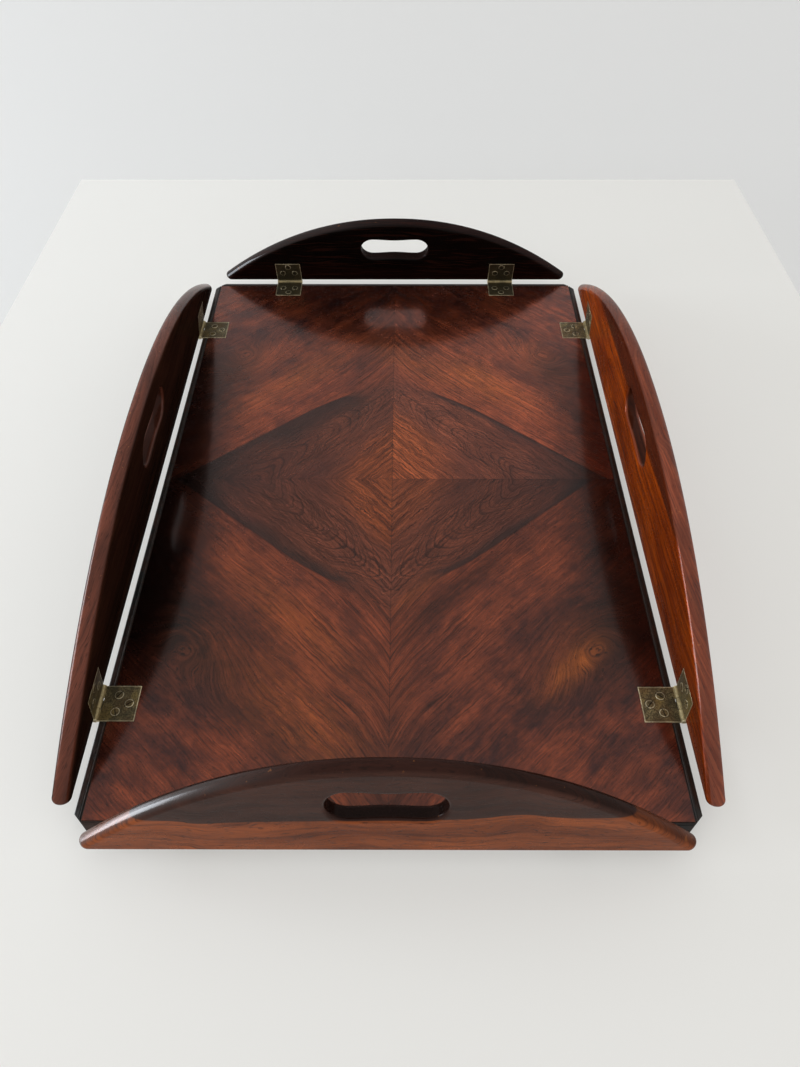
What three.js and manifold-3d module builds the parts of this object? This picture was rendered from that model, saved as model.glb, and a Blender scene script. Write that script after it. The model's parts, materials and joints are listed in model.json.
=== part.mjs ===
// Folding butler's tray: a veneered panel with four hinged, arched leaves.
// Millimetres, +Z up, +Y towards the back, origin at the centre of the panel's underside.
import * as THREE from "three";
import { mergeVertices } from "three/addons/utils/BufferGeometryUtils.js";
import Module from "manifold-3d";

const wasm = await Module();
wasm.setup();

// Panel
const fieldWidth = 480;
const fieldLength = 746;
const coreThickness = 14.4;
const veneerThickness = 0.8;
const cornerClip = 13;
const clipArris = 1.8;

// Lipping round the panel, from the veneer outwards: quirk, bead, line, band, arris
const lippingWidth = 7.5;
const quirkWidth = 1.2;
const quirkDepth = 1;
const beadWidth = 1.4;
const beadDrop = 0.15;
const lineWidth = 0.6;
const lineDepth = 0.8;
const bandDrop = 0.35;
const bandSlope = 0.4;
const arrisRadius = 1.5;
const footArris = 0.8;

// Leaves. Each stops short of the veneered field's ends by its inset.
const leafThickness = 15;
const endLeafInset = 5.5;
const endLeafHeight = 96.5;
const sideLeafInset = 9;
const sideLeafHeight = 118;
const archPower = 2.1;
const tipRadius = 3.2;
const leafFootArris = 0.8;

// Hand slots
const endSlotLength = 89;
const endSlotHeight = 32;
const endSlotRise = 37;
const sideSlotLength = 102;
const sideSlotHeight = 36;
const sideSlotRise = 52;
const sideSlotShift = 3.5;
const slotWaist = 1.5;
const slotRound = 3.5;

// Hinges. The middle of each lies in from the field's end by its inset.
const hingeLength = 34;
const basePlateReach = 33.5;
const leafPlateReach = 32;
const plateThickness = 1.6;
const knuckleRadius = 2.7;
const pinRadius = 1.2;
const pinClearance = 0.3;
const pinOutset = 3.5;
const leafGap = 3.5;
const endHingeInset = 94;
const sideHingeInset = 102;
const springWidth = 8;
const springThickness = 0.7;
const springReach = 21.5;

// Screws
const screwHeadRadius = 4;
const screwHeadHeight = 2.4;
const screwShankRadius = 1.8;
const screwLength = 9;
const screwSlotWidth = 1;
const screwSlotDepth = 0.8;
const screwProud = 0.15;
const innerScrewReach = 15.6;
const innerScrewSpread = 16.2;
const outerScrewReach = 26;

// Fit and facets
const seat = 0.3;
const archSteps = 24;
const tipSteps = 4;
const bullSteps = 6;
const slotEndSteps = 8;
const slotSideSteps = 6;
const slotRoundSteps = 2;
const roundSides = 12;
const screwSides = 8;
const tipSearchSteps = 40;
const cutterScale = 3;

// Lean of each leaf towards the middle of the tray, against its stop
const leafLean = { front: 13, back: 13, left: 7.5, right: 3.5 };

const panelThickness = coreThickness + 2 * veneerThickness;
const halfWidth = fieldWidth / 2;
const halfLength = fieldLength / 2;
const endLeafLength = fieldWidth - 2 * endLeafInset;
const sideLeafLength = fieldLength - 2 * sideLeafInset;
const endHingeSpread = fieldWidth - 2 * endHingeInset;
const sideHingeSpread = fieldLength - 2 * sideHingeInset;
const pinX = halfWidth + lippingWidth + pinOutset;
const pinY = halfLength + lippingWidth + pinOutset;
const knuckleBore = pinRadius + pinClearance;
const knuckleCount = 3;
const knuckleWidth = hingeLength / knuckleCount;
const tongueStart = knuckleBore + seat;
const slabStart = knuckleRadius + 2 * seat;

const rosewood = new THREE.MeshStandardMaterial({ color: 0x4a1d12, roughness: 0.3, metalness: 0 });
const figuredVeneer = new THREE.MeshStandardMaterial({ color: 0x5e2413, roughness: 0.2, metalness: 0 });
const darkLipping = new THREE.MeshStandardMaterial({ color: 0x1d0e0b, roughness: 0.3, metalness: 0 });
const coreWood = new THREE.MeshStandardMaterial({ color: 0x7a5a3a, roughness: 0.7, metalness: 0 });
const agedBrass = new THREE.MeshStandardMaterial({ color: 0x6b5a2c, roughness: 0.45, metalness: 1 });
const springSteel = new THREE.MeshStandardMaterial({ color: 0x55524c, roughness: 0.4, metalness: 1 });

// Booleans
function toSolid(geometry) {
  const plain = geometry.clone();
  plain.deleteAttribute("normal");
  plain.deleteAttribute("uv");
  const merged = mergeVertices(plain, 1e-4);
  const triVerts = new Uint32Array(merged.index.array);
  const vertProperties = merged.attributes.position.array;
  return new wasm.Manifold(new wasm.Mesh({ numProp: 3, vertProperties, triVerts }));
}

function toGeometry(solid) {
  const mesh = solid.getMesh();
  const geometry = new THREE.BufferGeometry();
  geometry.setAttribute("position", new THREE.BufferAttribute(new Float32Array(mesh.vertProperties), 3));
  geometry.setIndex(new THREE.BufferAttribute(new Uint32Array(mesh.triVerts), 1));
  return geometry;
}

function join(geometries) {
  return toGeometry(geometries.map(toSolid).reduce((a, b) => a.add(b)));
}

function cut(geometry, cutters) {
  return toGeometry(cutters.map(toSolid).reduce((a, b) => a.subtract(b), toSolid(geometry)));
}

// A box from its low corner to its high corner.
function block(low, high) {
  const [x, y, z] = high.map((value, axis) => value - low[axis]);
  return new THREE.BoxGeometry(x, y, z).translate(low[0] + x / 2, low[1] + y / 2, low[2] + z / 2);
}

// A closed skin through a row of loops of equal count, open at both ends.
function wallBetween(loops, positions) {
  for (let i = 0; i + 1 < loops.length; i++) {
    const [a, b] = [loops[i], loops[i + 1]];
    for (let j = 0; j < a.length; j++) {
      const k = (j + 1) % a.length;
      positions.push(a[j], b[k], b[j], a[j], a[k], b[k]);
    }
  }
}

// A flat cap over a counterclockwise loop with holes. place turns a flat point into a corner of the
// solid, and reversed turns the cap to face the other way.
function capOf(outer, holes, place, reversed, positions) {
  const flat = (loop) => loop.map(([x, z]) => new THREE.Vector2(x, z));
  const all = [...outer, ...holes.flat()];
  for (const [a, b, c] of THREE.ShapeUtils.triangulateShape(flat(outer), holes.map(flat))) {
    const [p, q, r] = [all[a], all[b], all[c]];
    const clockwise = (q[0] - p[0]) * (r[1] - p[1]) < (r[0] - p[0]) * (q[1] - p[1]);
    const corners = clockwise === reversed ? [p, q, r] : [p, r, q];
    positions.push(...corners.map(place));
  }
}

function geometryOf(positions) {
  const geometry = new THREE.BufferGeometry();
  geometry.setAttribute("position", new THREE.Float32BufferAttribute(positions.flat(), 3));
  return geometry;
}

// The arch of a leaf: the curve's height above the leaf's straight edge, x from the middle.
function archCurve(height, reach) {
  return (x) => height * (1 - Math.pow(Math.abs(x) / reach, archPower));
}

// Where a round tip of this radius sits between the straight edge and the arch.
function tipCentre(curve, reach, radius) {
  const gapAt = (x) => {
    let least = Infinity;
    for (let s = 0; s <= tipSearchSteps; s++) {
      const along = x + (reach - x) * (s / tipSearchSteps);
      least = Math.min(least, Math.hypot(along - x, curve(along) - radius));
    }
    return least - radius;
  };
  let [low, high] = [reach / 2, reach];
  for (let i = 0; i < tipSearchSteps; i++) {
    const middle = (low + high) / 2;
    if (curve(middle) > radius && gapAt(middle) > 0) low = middle;
    else high = middle;
  }
  return low;
}

// Outline of a leaf [across, up], drawn in from its full arch by inset. The tip's radius shrinks with
// the inset so that the tip itself draws in by no more than the inset.
function leafOutline(length, height, inset, footInset) {
  const slope = Math.atan((height * archPower) / (length / 2));
  const tipStretch = 1 / Math.tan(slope / 2) - 1;
  const fullReach = length / 2 + tipRadius * tipStretch;
  const reach = fullReach - inset / Math.sin(slope);
  const curve = archCurve(height - inset, reach);
  const shrink = (inset * (1 / Math.sin(slope) - 1)) / tipStretch;
  const radius = Math.max(tipRadius - shrink, tipRadius / 8);
  const centre = tipCentre(curve, reach, radius);
  const tipAngle = Math.PI / 2 - slope;
  const half = [];
  for (let s = 0; s <= tipSteps; s++) {
    const angle = -Math.PI / 2 + ((Math.PI / 2 + tipAngle) * s) / tipSteps;
    half.push([centre + radius * Math.cos(angle), footInset + radius * (1 + Math.sin(angle))]);
  }
  const start = half[half.length - 1][0];
  for (let s = 1; s <= archSteps / 2; s++) {
    const x = start * Math.cos((Math.PI / 2) * (s / (archSteps / 2)));
    half.push([x, Math.max(curve(x), half[tipSteps][1])]);
  }
  const other = half.slice(0, -1).map(([x, z]) => [-x, z]);
  return [...half, ...other.reverse()];
}

// Outline of a hand slot with round ends and a slight waist, grown by an allowance.
function slotOutline(length, height, rise, shift, grow) {
  const radius = height / 2 + grow;
  const straight = length - height;
  const middle = rise + height / 2;
  const outline = [];
  for (const side of [1, -1]) {
    for (let s = 0; s <= slotEndSteps; s++) {
      const angle = -Math.PI / 2 + (Math.PI * s) / slotEndSteps;
      const across = straight / 2 + radius * Math.cos(angle);
      outline.push([shift + side * across, middle + side * radius * Math.sin(angle)]);
    }
    for (let s = 1; s < slotSideSteps; s++) {
      const along = straight * (0.5 - s / slotSideSteps);
      const waist = slotWaist * Math.cos((Math.PI * along) / straight) ** 2;
      outline.push([shift + side * along, middle + side * (radius - waist)]);
    }
  }
  return outline;
}

// A leaf in its own frame: X along it, Y outwards through its thickness, Z up from the pin.
function leafBody(leaf) {
  const positions = [];
  const bull = leafThickness / 2;
  const outerLoops = [];
  for (let s = 0; s <= bullSteps; s++) {
    const angle = (Math.PI * s) / bullSteps;
    const inset = bull * (1 - Math.sin(angle));
    const footInset = leafFootArris * (1 - Math.sin(angle)) ** 2;
    const outline = leafOutline(leaf.length, leaf.height, inset, footInset);
    outerLoops.push({ depth: bull * (1 - Math.cos(angle)), outline });
  }
  const slotLoops = [];
  for (const face of [0, 1]) {
    for (let s = 0; s <= slotRoundSteps; s++) {
      const angle = ((Math.PI / 2) * (face ? slotRoundSteps - s : s)) / slotRoundSteps;
      const depth = slotRound * (1 - Math.cos(angle));
      const grow = slotRound * (1 - Math.sin(angle));
      const outline = slotOutline(leaf.slotLength, leaf.slotHeight, leaf.slotRise, leaf.slotShift, grow);
      slotLoops.push({ depth: face ? leafThickness - depth : depth, outline });
    }
  }
  const placed = ({ depth, outline }) => outline.map(([x, z]) => [x, depth, z + leafGap]);
  wallBetween(outerLoops.map(placed).reverse(), positions);
  wallBetween(slotLoops.map(placed), positions);
  for (const [end, reversed] of [[0, false], [-1, true]]) {
    const [outer, slot] = [outerLoops.at(end), slotLoops.at(end)];
    const place = ([x, z]) => [x, outer.depth, z + leafGap];
    capOf(outer.outline, [slot.outline], place, reversed, positions);
  }
  return geometryOf(positions);
}

// One lipping along X with mitred ends; Y runs outwards from the veneer's edge, Z is the panel's height.
function lippingBar(halfRun) {
  const lineStart = quirkWidth + beadWidth;
  const bandStart = lineStart + lineWidth;
  const top = panelThickness;
  const arrisTop = top - bandDrop - bandSlope;
  const profile = [
    [0, 0],
    [lippingWidth - footArris, 0],
    [lippingWidth, footArris],
    [lippingWidth, arrisTop - arrisRadius],
    [lippingWidth - arrisRadius * (1 - Math.SQRT1_2), arrisTop - arrisRadius * (1 - Math.SQRT1_2)],
    [lippingWidth - arrisRadius, arrisTop],
    [bandStart, top - bandDrop],
    [bandStart, top - lineDepth],
    [lineStart, top - lineDepth],
    [lineStart - beadWidth / 4, top - beadDrop - beadWidth / 4],
    [lineStart - beadWidth / 2, top - beadDrop],
    [quirkWidth + beadWidth / 4, top - beadDrop - beadWidth / 4],
    [quirkWidth, top - quirkDepth],
    [0, top - quirkDepth],
  ];
  const positions = [];
  const endPoint = (side) => ([out, z]) => [side * (halfRun + out), out, z];
  wallBetween([profile.map(endPoint(-1)), profile.map(endPoint(1))], positions);
  capOf(profile, [], endPoint(1), false, positions);
  capOf(profile, [], endPoint(-1), true, positions);
  return geometryOf(positions);
}

// The corner clips, with a small arris along each top edge.
function clipCutters() {
  const size = cutterScale * (cornerClip + lippingWidth);
  const cutters = [];
  for (const sideX of [-1, 1]) {
    for (const sideY of [-1, 1]) {
      const cornerX = sideX * (halfWidth + lippingWidth - cornerClip / 2);
      const cornerY = sideY * (halfLength + lippingWidth - cornerClip / 2);
      const turn = Math.atan2(sideY, sideX);
      const clip = block([0, -size, -panelThickness], [size, size, 2 * panelThickness]);
      const arris = block([0, -size, 0], [size, size, size]).rotateY(-Math.PI / 4);
      arris.translate(0, 0, panelThickness - clipArris);
      for (const cutter of [clip, arris]) {
        cutter.rotateZ(turn).translate(cornerX, cornerY, 0);
        cutters.push(cutter);
      }
    }
  }
  return cutters;
}

// A countersunk slotted screw, its axis along Z and its head's face at z = 0.
function screwBody(grow) {
  const points = [
    [0, -screwLength - grow],
    [screwShankRadius + grow, -screwLength + 2 * screwShankRadius],
    [screwShankRadius + grow, -screwHeadHeight],
    [screwHeadRadius + grow, 0],
    [screwHeadRadius + grow, screwProud],
    [0, screwProud],
  ].map(([radius, z]) => new THREE.Vector2(radius, z));
  const body = new THREE.LatheGeometry(points, screwSides).rotateX(Math.PI / 2);
  if (grow > 0) return body;
  const slot = block(
    [-2 * screwHeadRadius, -screwSlotWidth / 2, screwProud - screwSlotDepth],
    [2 * screwHeadRadius, screwSlotWidth / 2, 2 * screwProud],
  );
  return cut(body, [slot]);
}

function screwPlaces() {
  return [
    [innerScrewSpread / 2, innerScrewReach],
    [-innerScrewSpread / 2, innerScrewReach],
    [0, outerScrewReach],
  ];
}

// One knuckle ring round the pin, its axis along X.
function knuckleRing(from, to) {
  const shape = new THREE.Shape();
  shape.absarc(0, 0, knuckleRadius, 0, 2 * Math.PI);
  const bore = new THREE.Path();
  bore.absarc(0, 0, knuckleBore, 0, 2 * Math.PI, true);
  shape.holes.push(bore);
  const extrusion = { depth: to - from, bevelEnabled: false, curveSegments: roundSides / 2 };
  const ring = new THREE.ExtrudeGeometry(shape, extrusion);
  return ring.rotateY(Math.PI / 2).translate(from, 0, 0);
}

// A hinge plate lying flat: X along the pin, Y from the pin across the plate, top face at z = 0.
function hingePlate(reach, knuckles) {
  const pieces = [block([-hingeLength / 2, slabStart, -plateThickness], [hingeLength / 2, reach, 0])];
  for (const place of knuckles) {
    const from = -hingeLength / 2 + place * knuckleWidth + (place > 0 ? seat / 2 : 0);
    const to = -hingeLength / 2 + (place + 1) * knuckleWidth - (place < knuckleCount - 1 ? seat / 2 : 0);
    pieces.push(knuckleRing(from, to));
    pieces.push(block([from, tongueStart, -plateThickness], [to, slabStart + seat, 0]));
  }
  for (const [x, y] of screwPlaces()) pieces.push(screwBody(0).translate(x, y, 0));
  return join(pieces);
}

// What the wood loses for a plate that lies flat in it, with its screws.
function plateCutters(reach, depthGap) {
  const cutters = [
    block(
      [-hingeLength / 2 - seat, -knuckleRadius, -plateThickness - depthGap],
      [hingeLength / 2 + seat, reach + seat, plateThickness],
    ),
  ];
  for (const [x, y] of screwPlaces()) cutters.push(screwBody(seat).translate(x, y, 0));
  return cutters;
}

// The flat spring under a base plate: it lies against the plate and dips under the middle knuckle.
function springStrip() {
  const upper = -plateThickness - seat;
  const lower = Math.min(-knuckleRadius - seat, upper - springThickness / 2);
  const dipStart = slabStart + 2 * springThickness + knuckleRadius;
  const profile = new THREE.Shape();
  profile.moveTo(springReach, upper);
  profile.lineTo(dipStart, upper);
  profile.lineTo(slabStart, lower);
  profile.lineTo(-knuckleRadius / 2, lower);
  profile.lineTo(-knuckleRadius / 2, lower - springThickness);
  profile.lineTo(slabStart, lower - springThickness);
  profile.lineTo(dipStart, upper - springThickness);
  profile.lineTo(springReach, upper - springThickness);
  profile.closePath();
  const strip = new THREE.ExtrudeGeometry(profile, { depth: springWidth, bevelEnabled: false });
  return strip.rotateX(Math.PI / 2).rotateZ(Math.PI / 2).translate(-springWidth / 2, 0, 0);
}

function springPocket() {
  const lower = Math.max(knuckleRadius + seat, plateThickness + seat + springThickness / 2);
  const floor = -lower - springThickness - seat;
  return block(
    [-springWidth / 2 - seat, -knuckleRadius, floor],
    [springWidth / 2 + seat, springReach + seat, -plateThickness + seat],
  );
}

function hingePin() {
  const length = hingeLength - 2 * seat;
  return new THREE.CylinderGeometry(pinRadius, pinRadius, length, roundSides).rotateZ(Math.PI / 2);
}

// The four sides: quarter turn of the leaf's outward direction from +Y, and what each side carries.
const endLeaf = {
  length: endLeafLength,
  height: endLeafHeight,
  slotLength: endSlotLength,
  slotHeight: endSlotHeight,
  slotRise: endSlotRise,
  slotShift: 0,
};
const leftLeaf = {
  length: sideLeafLength,
  height: sideLeafHeight,
  slotLength: sideSlotLength,
  slotHeight: sideSlotHeight,
  slotRise: sideSlotRise,
  slotShift: sideSlotShift,
};
const rightLeaf = { ...leftLeaf, slotShift: -sideSlotShift };
const sides = {
  back: { turn: 0, pin: pinY, spread: endHingeSpread, hinges: ["left", "right"], leaf: endLeaf },
  left: { turn: 1, pin: pinX, spread: sideHingeSpread, hinges: ["front", "back"], leaf: leftLeaf },
  front: { turn: 2, pin: pinY, spread: endHingeSpread, hinges: ["right", "left"], leaf: endLeaf },
  right: { turn: 3, pin: pinX, spread: sideHingeSpread, hinges: ["back", "front"], leaf: rightLeaf },
};

// A quarter turn about Z with whole-number entries, so that flat faces stay exact.
function quarterTurn(turn) {
  const [c, s] = [[1, 0], [0, 1], [-1, 0], [0, -1]][turn];
  return new THREE.Matrix4().set(c, -s, 0, 0, s, c, 0, 0, 0, 0, 1, 0, 0, 0, 0, 1);
}

// Places a piece drawn with X along the pin and Y from the pin into the panel.
function ontoPanel(geometry, side, along) {
  const place = new THREE.Matrix4().makeTranslation(along, side.pin, panelThickness).multiply(quarterTurn(2));
  return geometry.applyMatrix4(place).applyMatrix4(quarterTurn(side.turn));
}

function hingeAlong(side) {
  return [-side.spread / 2, side.spread / 2];
}

const tray = new THREE.Group();

function addMesh(parent, name, geometry, material) {
  const mesh = new THREE.Mesh(geometry, material);
  mesh.name = name;
  parent.add(mesh);
  return mesh;
}

const panelCutters = clipCutters();
for (const side of Object.values(sides)) {
  for (const along of hingeAlong(side)) {
    for (const cutter of [...plateCutters(basePlateReach, 0), springPocket()]) {
      panelCutters.push(ontoPanel(cutter, side, along));
    }
  }
}

// Panel
const coreTop = panelThickness - veneerThickness;
const core = block([-halfWidth, -halfLength, veneerThickness], [halfWidth, halfLength, coreTop]);
addMesh(tray, "base_core", cut(core, panelCutters), coreWood);
const backing = block([-halfWidth, -halfLength, 0], [halfWidth, halfLength, veneerThickness]);
addMesh(tray, "backing_veneer", cut(backing, panelCutters), rosewood);
for (const [depthName, low, high] of [["front", -halfLength, 0], ["back", 0, halfLength]]) {
  for (const [acrossName, left, right] of [["left", -halfWidth, 0], ["right", 0, halfWidth]]) {
    const quarter = block([left, low, coreTop], [right, high, panelThickness]);
    addMesh(tray, `veneer_${depthName}_${acrossName}`, cut(quarter, panelCutters), figuredVeneer);
  }
}

// Lippings, leaves and hinges, side by side
for (const [sideName, side] of Object.entries(sides)) {
  const endOn = side.turn % 2 === 0;
  const bar = lippingBar(endOn ? halfWidth : halfLength).translate(0, endOn ? halfLength : halfWidth, 0);
  const lipping = cut(bar.applyMatrix4(quarterTurn(side.turn)), panelCutters);
  addMesh(tray, `lipping_${sideName}`, lipping, darkLipping);

  const leafGroup = new THREE.Group();
  leafGroup.matrixAutoUpdate = false;
  leafGroup.matrix
    .copy(quarterTurn(side.turn))
    .multiply(new THREE.Matrix4().makeTranslation(0, side.pin, panelThickness))
    .multiply(new THREE.Matrix4().makeRotationX(THREE.MathUtils.degToRad(leafLean[sideName])));
  tray.add(leafGroup);

  const onLeaf = (geometry, along) => geometry.rotateX(Math.PI / 2).translate(along, 0, 0);
  const leafCutters = [];
  hingeAlong(side).forEach((along, index) => {
    const hingeName = `hinge_${sideName}_${side.hinges[index]}`;
    const basePlate = ontoPanel(hingePlate(basePlateReach, [0, knuckleCount - 1]), side, along);
    addMesh(tray, `${hingeName}_base_plate`, basePlate, agedBrass);
    addMesh(tray, `${hingeName}_pin`, ontoPanel(hingePin(), side, along), agedBrass);
    addMesh(tray, `${hingeName}_spring`, ontoPanel(springStrip(), side, along), springSteel);
    addMesh(leafGroup, `${hingeName}_leaf_plate`, onLeaf(hingePlate(leafPlateReach, [1]), along), agedBrass);
    leafCutters.push(...plateCutters(leafPlateReach, seat).map((cutter) => onLeaf(cutter, along)));
  });
  addMesh(leafGroup, `leaf_${sideName}`, cut(leafBody(side.leaf), leafCutters), rosewood);
}

export default tray;
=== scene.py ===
# Folding butler's tray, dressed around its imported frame. Metres, +Z up, +Y towards the back leaf.
# Pieces are drawn in millimetres and scaled when they are put in place.
import json
import math
import random

import bmesh
import bpy
from mathutils import Matrix, Vector


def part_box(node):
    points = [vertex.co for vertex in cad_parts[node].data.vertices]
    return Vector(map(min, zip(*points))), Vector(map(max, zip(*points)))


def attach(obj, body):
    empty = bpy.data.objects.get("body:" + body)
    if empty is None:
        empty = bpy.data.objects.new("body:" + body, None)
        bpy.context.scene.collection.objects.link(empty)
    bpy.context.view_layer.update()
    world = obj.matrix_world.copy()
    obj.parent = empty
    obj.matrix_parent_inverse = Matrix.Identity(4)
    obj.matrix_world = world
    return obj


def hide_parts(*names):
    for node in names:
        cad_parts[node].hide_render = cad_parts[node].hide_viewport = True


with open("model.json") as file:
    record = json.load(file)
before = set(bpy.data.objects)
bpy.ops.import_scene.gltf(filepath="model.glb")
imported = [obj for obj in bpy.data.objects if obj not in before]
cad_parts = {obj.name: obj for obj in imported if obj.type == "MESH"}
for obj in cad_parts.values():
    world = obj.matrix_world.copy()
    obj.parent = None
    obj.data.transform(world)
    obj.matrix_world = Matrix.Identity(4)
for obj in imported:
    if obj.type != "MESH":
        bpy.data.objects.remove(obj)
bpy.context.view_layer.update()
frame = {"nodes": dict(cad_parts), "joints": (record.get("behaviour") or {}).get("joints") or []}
scene = bpy.context.scene
mm = 0.001
rng = random.Random(11)

# Drawn points that close are one, those that near a plane are on it, and a cutter goes past what it cuts.
mergeReach = 0.0005
planeReach = 0.01
past = 1

# How many sides the round parts have
roundSides = {"rod": 32, "barrel": 40, "cone": 40, "hole": 24}

# What the frame says: the pin line of each leaf, its height, and how far each leaf leans in at rest.
joints = {joint["name"]: joint for joint in frame["joints"]}
panelTop = joints["back_leaf_fold"]["pos_m"][2] / mm
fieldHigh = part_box("veneer_back_right")[1] / mm
sides = {
    "back": {"turn": 0, "hinges": ("left", "right"), "end": True},
    "left": {"turn": 1, "hinges": ("front", "back"), "end": False},
    "front": {"turn": 2, "hinges": ("right", "left"), "end": True},
    "right": {"turn": 3, "hinges": ("back", "front"), "end": False},
}
hingeInsets = {True: 94, False: 102}
for sideName, side in sides.items():
    joint = joints[sideName + "_leaf_fold"]
    side["pin"] = Vector(joint["pos_m"]).xy.length / mm
    side["lean"] = math.radians(joint["range_deg"][1] - 90)
    side["halfRun"] = fieldHigh.x if side["end"] else fieldHigh.y
    side["hingeInset"] = hingeInsets[side["end"]]

panel = {
    "cornerClip": 13,
    "clipArris": 1.1,
    "clipSteps": 3,
    "lippingWidth": 7.5,
    "quirkWidth": 1.2,
    "quirkDepth": 1.0,
    "beadWidth": 1.4,
    "beadDrop": 0.15,
    "lineWidth": 0.6,
    "lineDepth": 0.8,
    "bandDrop": 0.35,
    "bandSlope": 0.4,
    "arrisRadius": 1.5,
    "footArris": 0.8,
    "arcSteps": 6,
}

hinge = {
    "length": 34,
    "baseReach": 33.5,
    "leafReach": 32,
    "plate": 1.6,
    "knuckle": 2.7,
    "bore": 1.5,
    "pin": 1.2,
    "slabStart": 3.3,
    "tongueStart": 1.8,
    "seat": 0.3,
    "edge": 0.22,
    "sliver": 0.04,
    "edgeSteps": 3,
    "rimAngle": 50,
    "rimSteps": 2,
    "pinSteps": 4,
    "screws": ((8.1, 15.6), (-8.1, 15.6), (0, 26)),
}


def deselect():
    bpy.ops.object.select_all(action="DESELECT")


def pick(obj):
    deselect()
    obj.select_set(True)
    bpy.context.view_layer.objects.active = obj


def editing(obj, mode="VERT"):
    pick(obj)
    bpy.ops.object.mode_set(mode="EDIT")
    bpy.ops.mesh.select_mode(type=mode)
    bpy.ops.mesh.select_all(action="DESELECT")
    return bmesh.from_edit_mesh(obj.data)


def doneEditing():
    bpy.ops.object.mode_set(mode="OBJECT")


# Adds a modifier, sets it and applies it.
def modify(obj, kind, **settings):
    pick(obj)
    bpy.ops.object.modifier_add(type=kind)
    modifier = obj.modifiers[-1]
    for key, value in settings.items():
        setattr(modifier, key, value)
    bpy.ops.object.modifier_apply(modifier=modifier.name)


# Cuts one piece with others, or joins them to it, and throws the others away.
def boolean(obj, others, operation="DIFFERENCE"):
    for other in others:
        modify(obj, "BOOLEAN", object=other, operation=operation, solver="EXACT")
        bpy.data.objects.remove(other)


def addBox(low, high, name="box"):
    deselect()
    centre = [(a + b) / 2 for a, b in zip(low, high)]
    bpy.ops.mesh.primitive_cube_add(size=1, location=centre)
    box = bpy.context.object
    box.scale = [b - a for a, b in zip(low, high)]
    bpy.ops.object.transform_apply()
    box.name = name
    return box


def addRod(radius, start, end, kind="rod"):
    deselect()
    middle = [(a + b) / 2 for a, b in zip(start, end)]
    span = Vector(end) - Vector(start)
    bpy.ops.mesh.primitive_cylinder_add(
        vertices=roundSides[kind],
        radius=radius,
        depth=span.length,
        location=middle,
    )
    rod = bpy.context.object
    rod.rotation_mode = "QUATERNION"
    rod.rotation_quaternion = span.to_track_quat("Z", "Y")
    bpy.ops.object.transform_apply()
    return rod


# A cone along Z, from its lower radius to its upper one
def addCone(lower, upper, height, middle):
    deselect()
    bpy.ops.mesh.primitive_cone_add(
        vertices=roundSides["cone"],
        radius1=lower,
        radius2=upper,
        depth=height,
        location=middle,
    )
    bpy.ops.object.transform_apply()
    return bpy.context.object


# Closed outlines drawn as one curve, which becomes a mesh of edge loops.
def drawLoops(name, loops):
    curve = bpy.data.curves.new(name, "CURVE")
    curve.dimensions = "3D"
    for loop in loops:
        spline = curve.splines.new("POLY")
        spline.points.add(len(loop) - 1)
        for point, place in zip(spline.points, loop):
            point.co = (*place, 1)
        spline.use_cyclic_u = True
    obj = bpy.data.objects.new(name, curve)
    scene.collection.objects.link(obj)
    pick(obj)
    bpy.ops.object.convert(target="MESH")
    return bpy.context.object


# Skins the loops in their order, each with the next. counts are the loops' points, first is where they start.
def bridgeLoops(obj, counts, first):
    editing(obj, "EDGE")
    for i in range(len(counts) - 1):
        start = first + sum(counts[:i])
        middle, end = start + counts[i], start + counts[i] + counts[i + 1]
        bpy.ops.mesh.select_all(action="DESELECT")
        mesh = bmesh.from_edit_mesh(obj.data)
        for edge in mesh.edges:
            near, far = sorted(vertex.index for vertex in edge.verts)
            edge.select = start <= near and far < end and (near < middle) == (far < middle)
        bmesh.update_edit_mesh(obj.data)
        bpy.ops.mesh.bridge_edge_loops()
    doneEditing()


def selectVertices(obj, test):
    mesh = bmesh.from_edit_mesh(obj.data)
    for vertex in mesh.verts:
        vertex.select = test(vertex.co)
    mesh.select_flush(True)
    bmesh.update_edit_mesh(obj.data)


# Smooth shading up to an angle, with the flat faces keeping their own direction
smoothAngle = {"wood": 38, "plate": 40, "pin": 40, "screw": 30}
flatWeight = 100


def smooth(obj, kind):
    pick(obj)
    bpy.ops.object.shade_smooth_by_angle(angle=math.radians(smoothAngle[kind]))
    modify(obj, "WEIGHTED_NORMAL", keep_sharp=True, weight=flatWeight)


def outward(obj):
    editing(obj)
    bpy.ops.mesh.select_all(action="SELECT")
    bpy.ops.mesh.remove_doubles(threshold=mergeReach)
    bpy.ops.mesh.normals_make_consistent(inside=False)
    doneEditing()


# Puts a piece drawn in millimetres where it belongs, leaving its object at the origin.
# The place where each point was drawn stays on the mesh, for the pattern that its material follows.
def place(obj, matrix, name):
    drawn = obj.data.attributes.new("drawn", "FLOAT_VECTOR", "POINT")
    for point, vertex in zip(drawn.data, obj.data.vertices):
        point.vector = vertex.co
    obj.data.transform(matrix)
    obj.data.transform(Matrix.Scale(mm, 4))
    obj.name = name
    obj.data.name = name
    return obj


def copyOf(obj):
    twin = obj.copy()
    twin.data = obj.data.copy()
    scene.collection.objects.link(twin)
    return twin


def quarter(side):
    return Matrix.Rotation(side["turn"] * math.pi / 2, 4, "Z")


def onPinLine(side, along=0):
    return quarter(side) @ Matrix.Translation((along, side["pin"], panelTop))


def leafPlace(side):
    return onPinLine(side) @ Matrix.Rotation(side["lean"], 4, "X")


def basePlatePlace(side, along):
    return onPinLine(side, along) @ Matrix.Rotation(math.pi, 4, "Z")


def leafPlatePlace(side, along):
    return leafPlace(side) @ Matrix.Translation((along, 0, 0)) @ Matrix.Rotation(math.pi / 2, 4, "X")


def hingePlaces(side):
    reach = side["halfRun"] - side["hingeInset"]
    return zip((-reach, reach), side["hinges"])


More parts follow.
